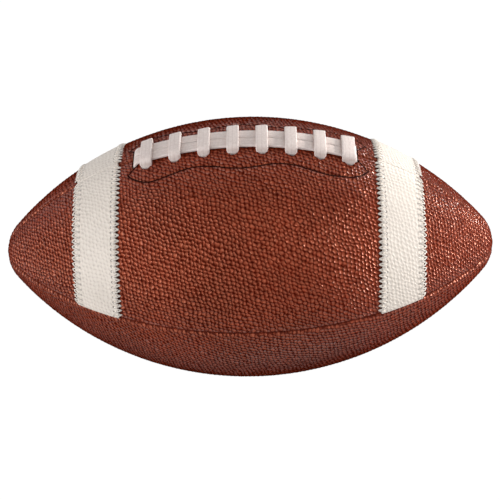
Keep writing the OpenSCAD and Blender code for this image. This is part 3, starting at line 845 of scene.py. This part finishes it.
stitcher, given, made = new_group(
    "lay stitches", "GeometryNodeTree",
    ("Geometry", "INPUT", "Geometry", None), ("Stitch", "INPUT", "Object", None),
    ("Material", "INPUT", "Material", None), ("Geometry", "OUTPUT", "Geometry", None))
ways = [node(stitcher, "GeometryNodeInputNamedAttribute", {"Name": label},
             data_type="FLOAT_VECTOR").outputs["Attribute"] for label in ("upward", "ahead")]
facing = node(stitcher, "FunctionNodeAxesToRotation", {
    "Primary Axis": ways[0], "Secondary Axis": ways[1]}, primary_axis="Z", secondary_axis="X")
one = node(stitcher, "GeometryNodeObjectInfo", {"Object": given["Stitch"]})
laid = node(stitcher, "GeometryNodeInstanceOnPoints", {
    "Points": given["Geometry"], "Instance": one.outputs["Geometry"], "Rotation": facing.outputs[0]})
real = node(stitcher, "GeometryNodeRealizeInstances", {0: laid.outputs[0]})
done = node(stitcher, "GeometryNodeSetMaterial", {
    "Geometry": real.outputs[0], "Material": given["Material"]})
stitcher.links.new(done.outputs[0], made["Geometry"])


def lay_stitches(name, stitch, points, ahead, upward, material):
    """Copies of one stitch on points, each turned along its line and square to the leather."""
    row = new_piece(name, points, [], {"ahead": ahead, "upward": upward})
    return run_tree(row, stitcher, Stitch=stitch, Material=material)


def thread_finish(name, roughness, specular, dark, light, scale=1500.0, detail=2.0):
    """A thread's material, with its twist as soft light and dark and as relief."""
    material, tree, shader = surface(name, roughness, specular)
    twist = noise(tree, object_place(tree), scale, detail)
    tree.links.new(ramp(tree, twist, (0.3, dark), (0.7, light)), shader["Base Color"])
    roughened(tree, shader, twist, 0.4, 0.10 * MM)
    return material


white_thread = thread_finish(
    "white waxed thread", 0.55, 0.5, srgb(214, 202, 190), srgb(244, 238, 230))
half_stitch = zigzag_pitch / 2
zig = [(-1.00, -needle_reach / MM, 0.50), (-0.94, -2.05, 0.98), (-0.66, -0.60, 1.10),
       (-0.44, 0.40, 0.85), (-0.22, 1.25, 0.42), (0.0, 1.85, 0.10)]
zig = [(x * half_stitch, y * MM, z * MM) for x, y, z in zig]
zig = zig + [(-x, y, z) for x, y, z in zig[-2::-1]]
zig_stitch = stitch_form("zigzag stitch", zig, 0.42 * MM, 0.30 * MM)
seam_clear = 1.9 * MM
for quarter, side in lace_quarters:
    for end, sign in ball_ends:
        points, ahead, upward = [], [], []
        for edge_s, count, outward in ((near_s, near_count, -1), (far_s, far_count, 1)):
            s = sign * edge_s
            r = meridian(s)[1]
            for k in range(1, count):
                theta = quarter * quarter_turn + k / count * quarter_turn
                if min(theta, full_turn - theta) * r < seam_clear:
                    continue
                out, along = ball_ways(s, theta)
                points.append(on_ball(s, theta, 0.0))
                ahead.append(np.cross(along * sign * outward, out))
                upward.append(out)
        row = lay_stitches(f"zigzag_{side}_{end}", zig_stitch, points, ahead, upward, white_thread)
        place(row, "seam_thread")
bpy.data.objects.remove(zig_stitch)

# Stay stitches: black lock stitches through the lace panels that hold the leather stays inside.
# They run in a wave along both sides of the lacing.
black_thread = thread_finish("black thread", 0.85, 0.04, srgb(20, 5, 3), srgb(40, 14, 9))
lock_pitch = 3.2 * MM
lock_sink = 0.40 * MM
lock_half_step = 0.3 * MM
lock_path = [(-0.50, 0, -0.45), (-0.44, 0, -0.12), (-0.28, 0, 0.0), (0, 0, 0.02), (0.28, 0, 0.0),
             (0.44, 0, -0.12), (0.50, 0, -0.45)]
lock_path = [(x * lock_pitch, y, z * MM) for x, y, z in lock_path]
lock_stitch = stitch_form("lock stitch", lock_path, 0.38 * MM, 0.32 * MM)
walked = walk(np.stack([line_s, line_theta * meridian(line_s)[1]], -1))
lock_count = round(walked[-1] / lock_pitch)
spots = (np.arange(lock_count) + 0.5) * walked[-1] / lock_count


def on_line(distance, sign):
    """Points on the line of one side at distances along it, with their arc lengths and angles."""
    s = np.interp(distance, walked, line_s)
    theta = sign * np.interp(distance, walked, line_theta)
    return on_ball(s, theta, np.full(len(s), -lock_sink)), s, theta


for side, sign in (("front", 1), ("rear", -1)):
    points, s, theta = on_line(spots, sign)
    ahead = on_line(spots + lock_half_step, sign)[0] - on_line(spots - lock_half_step, sign)[0]
    upward = ball_ways(s, theta)[0]
    row = lay_stitches(f"stay_stitches_{side}", lock_stitch, points, ahead, upward, black_thread)
    place(row, "seam_thread")
bpy.data.objects.remove(lock_stitch)

# Lace: one flat off-white strap. It runs along the seam as two strands, crosses over them eight
# times, and passes down through the lace holes and back inside between the crosses.
cross_rise = 3.9 * MM
strand_rise = 1.3 * MM
upper_lace = 5.6 * MM
lower_lace = 8.4 * MM
bunch_w = 4.4 * MM
bunch_t = 2.4 * MM
inner_bend = 1.6 * MM
outer_bend = 1.9 * MM
mouth_bend = 2.0 * MM
tail_len = 27.0 * MM
tail_shares = (1, 0.66, 0.33)
front_strand_y = -3.7 * MM
rear_strand_y = 3.7 * MM
strand_stops = 15
last_cross_w = 7.8 * MM
last_cross_shift = -0.2 * MM
front_tilt = 0.22
rear_tilt = 0.6 * front_tilt


def stop(x, y, rise, w, t, turn, bend=0.0, tilt=0.0):
    """A stop on the lace's route, and how far before it its bend begins.

    The stop is a place, a rise, a width, a thickness, whether the width lies along the ball, and
    how far the width tilts.
    """
    return np.array((x, y, rise, w, t, turn, tilt)), bend


def leg_route(x, y, w, leg_tilt, top_tilt):
    """The strap in one lace hole, bunched inside the ball and full wide where it comes out."""
    widening = ((-1.5 * MM, bunch_w, bunch_t), (-0.5 * MM, 0.78 * w, bunch_t),
                (0.3 * MM, 0.92 * w, 2.1 * MM), (1.3 * MM, w, lace_t))
    return [stop(x, y, -upper_lace, bunch_w, bunch_t, 1, inner_bend),
            *[stop(x, y, rise, wide, thick, 1, 0, leg_tilt) for rise, wide, thick in widening],
            stop(x, y, cross_rise, w, lace_t, 1, outer_bend, top_tilt)]


def cross_route(x, w):
    """One cross: up through its front hole, over both strands and down through its rear hole."""
    over = [stop(x, hole_y * share, cross_rise, w, lace_t, 1) for share in (-0.5, 0, 0.5)]
    rear_leg = leg_route(x, hole_y, w, 0, rear_tilt)
    return leg_route(x, -hole_y, w, front_tilt, 0) + over + rear_leg[::-1]


def inside_route(x):
    """The strap inside the ball, from a cross's rear hole to the next one's front hole."""
    return [stop(x + cross_pitch * t, hole_y * (1 - 2 * t), -upper_lace, bunch_w, bunch_t, 1)
            for t in (0.25, 0.5, 0.75)]


def strand_route(y):
    """A strand along the top, from its right mouth to its left one."""
    xs = np.linspace(mouth_x, -mouth_x, strand_stops) + mouth_shift
    bends = [mouth_bend] + [0] * (strand_stops - 2) + [mouth_bend]
    return [stop(x, y, strand_rise, lace_w, lace_t, 0, bend) for x, bend in zip(xs, bends)]


def tail_route(side, y):
    """A loose end of the strap inside the ball, and its way out to the mouth."""
    mouth = side * mouth_x + mouth_shift
    tail = [stop(mouth - side * tail_len * t, y, -lower_lace, lace_w, lace_t, 0) for t in tail_shares]
    return [*tail, stop(mouth, y, -lower_lace, lace_w, lace_t, 0, inner_bend)]


def link_route(side, y):
    """The way down from a mouth to the strap of the crosses."""
    mouth = side * mouth_x + mouth_shift
    return [stop(mouth, y, -1.1 * MM, lace_w, lace_t, 0),
            stop(mouth, y, -upper_lace, bunch_w, bunch_t, 0, inner_bend)]


route = tail_route(1, front_strand_y) + strand_route(front_strand_y) + link_route(-1, front_strand_y)
for k in range(cross_count - 1):
    route += cross_route(first_x + k * cross_pitch, lace_w) + inside_route(first_x + k * cross_pitch)
route += cross_route(-first_x + last_cross_shift, last_cross_w)
route += link_route(1, rear_strand_y)[::-1] + strand_route(rear_strand_y)
route += tail_route(-1, rear_strand_y)[::-1]

bend_rings = 9
longest_step = 1.0 * MM
lace_sides = 24
squareness = 0.42


def toward(start, finish, distance):
    """The stop at a distance from one stop towards another."""
    return start + (finish - start) * distance / np.linalg.norm(finish[:3] - start[:3])


def rounded(route):
    """The route with its bends made round."""
    rings = []
    for k, (at, bend) in enumerate(route):
        if bend == 0:
            rings.append(at)
            continue
        start = toward(at, route[k - 1][0], bend)
        finish = toward(at, route[k + 1][0], bend)
        for t in np.linspace(0, 1, bend_rings):
            rings.append((1 - t) ** 2 * start + 2 * t * (1 - t) * at + t**2 * finish)
    return rings


def filled(rings):
    """The same rings with more between them, so that no step is longer than the longest."""
    dense = [rings[0]]
    for at in rings[1:]:
        before = dense[-1]
        gap = np.linalg.norm(at[:3] - before[:3])
        for t in np.linspace(0, 1, max(1, math.ceil(gap / longest_step)) + 1)[1:]:
            dense.append(before + (at - before) * t)
    return np.array(dense)


rings = filled(rounded(route))
x, y, rise, widths, thicks, turn, tilt = rings.T
y = y + lacing_y
slope = np.sqrt(1 - (x / belly_r) ** 2)
out_r = belly_r * slope - belly_drop + rise / slope
centres = np.stack([x, y, np.sqrt(out_r**2 - y**2)], -1)
ahead = unit(np.gradient(centres, axis=0))
lengthwise = x / belly_r
crosswise = y / np.hypot(y, centres[:, 2])
along_ball = np.stack([np.sqrt(1 - lengthwise**2), np.zeros(len(x)), -lengthwise], -1)
across_ball = np.stack([np.zeros(len(x)), np.sqrt(1 - crosswise**2), -crosswise], -1)
width_way = turn[:, None] * along_ball + (1 - turn[:, None]) * across_ball
width_way[:, 2] += tilt
wide = unit(width_way - (width_way * ahead).sum(1)[:, None] * ahead)
thick = np.cross(ahead, wide)
angle = np.linspace(0, full_turn, lace_sides, endpoint=False)
across = np.sign(np.cos(angle)) * np.abs(np.cos(angle)) ** squareness
through = np.sign(np.sin(angle)) * np.abs(np.sin(angle)) ** squareness
points = (centres[:, None] + across[None, :, None] * widths[:, None, None] / 2 * wide[:, None]
          + through[None, :, None] * thicks[:, None, None] / 2 * thick[:, None]).reshape(-1, 3)
strap_map = np.stack([np.repeat(walk(centres), lace_sides),
                      (across[None] * widths[:, None] / 2).ravel()], -1)
lace = new_piece("lace_strap", points, tube_faces(len(rings), lace_sides), {
    "strap": strap_map, "across": np.tile(across, len(rings))})

rib_pitch = 2.258 * MM
wave_turn = math.pi / 10
strap, tree, shader = surface("off-white lace", 0.52)
uv = node(tree, "ShaderNodeUVMap", uv_map="strap").outputs[0]
# Painted highlight: the strap is lightened towards its two long edges.
lit_rim = fmath(tree, "ABSOLUTE", spread(tree, "across"))
grain = noise(tree, object_place(tree), 900.0, 3.0)
colour = ramp(tree, grain, (0.3, srgb(230, 212, 204)), (0.7, srgb(244, 230, 223)))
colour = mixed(tree, stepped(tree, lit_rim, 0.86, 0.98, 0.0, 0.5), colour, srgb(244, 234, 229))
ribs = node(tree, "ShaderNodeTexWave", {
    "Vector": uv, "Scale": wave_turn / rib_pitch, "Distortion": 0.0},
    bands_direction="Y", wave_profile="SIN").outputs["Fac"]
# Painted shade: the strap is darkened in the troughs between its ribs.
colour = mixed(tree, stepped(tree, ribs, 0.12, 0.0, 0.0, 0.22), colour, srgb(186, 164, 158))
tree.links.new(colour, shader["Base Color"])
ribbed = roughened(tree, shader, ribs, 0.12, 0.15 * MM)
roughened(tree, shader, grain, 0.25, 0.12 * MM, ribbed)
lace.data.materials.append(strap)
place(lace, "lace", "lace")

# Inside the ball: cloth linings, split leather under the lacing, the rubber bladder with its valve,
# and the seam threads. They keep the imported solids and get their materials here.
cloth, tree, shader = surface("coated cotton lining", 0.8, 0.3)
place_here = object_place(tree)
weave = None
for direction in ("X", "Y", "Z"):
    lines = node(tree, "ShaderNodeTexWave", {"Vector": place_here, "Scale": 500.0, "Distortion": 0.6},
                 bands_direction=direction).outputs["Fac"]
    if weave is not None:
        lines = fmath(tree, "MULTIPLY", weave, stepped(tree, lines, 0.0, 1.0, 0.6, 1.0))
    weave = lines
colour = ramp(tree, weave, (0.1, srgb(196, 184, 152)), (0.8, srgb(228, 219, 192)))
cloud = stepped(tree, noise(tree, place_here, 30.0, 3.0), 0.3, 0.7, 0.88, 1.0)
tree.links.new(vmath(tree, "MULTIPLY", colour, cloud), shader["Base Color"])
roughened(tree, shader, weave, 0.4, 0.10 * MM)

split, tree, shader = surface("split leather", 0.85, 0.25)
fibres = noise(tree, object_place(tree), 700.0, 6.0, Distortion=1.2)
colour = ramp(tree, fibres, (0.3, srgb(150, 112, 74)), (0.7, srgb(198, 160, 116)))
tree.links.new(colour, shader["Base Color"])
roughened(tree, shader, fibres, 0.5, 0.12 * MM)

rubber, tree, shader = surface("moulded rubber", 0.5, 0.4)
place_here = object_place(tree)
bloom = noise(tree, place_here, 60.0, 5.0)
colour = ramp(tree, bloom, (0.3, srgb(24, 24, 26)), (0.75, srgb(50, 49, 50)))
tree.links.new(colour, shader["Base Color"])
tree.links.new(stepped(tree, bloom, 0.3, 0.7, 0.42, 0.62), shader["Roughness"])
roughened(tree, shader, noise(tree, place_here, 2400.0, 2.0), 0.15, 0.05 * MM)

twine = thread_finish(
    "waxed seam thread", 0.6, 0.5, srgb(176, 156, 118), srgb(216, 200, 166), 1400.0, 3.0)

finishes = {"lining": cloth, "lace_stay": split, "tongue": split,
            "bladder": rubber, "valve": rubber, "thread": twine}
for name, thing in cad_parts.items():
    for start, finish in finishes.items():
        if name.startswith(start):
            for slot in thing.material_slots:
                slot.material = finish
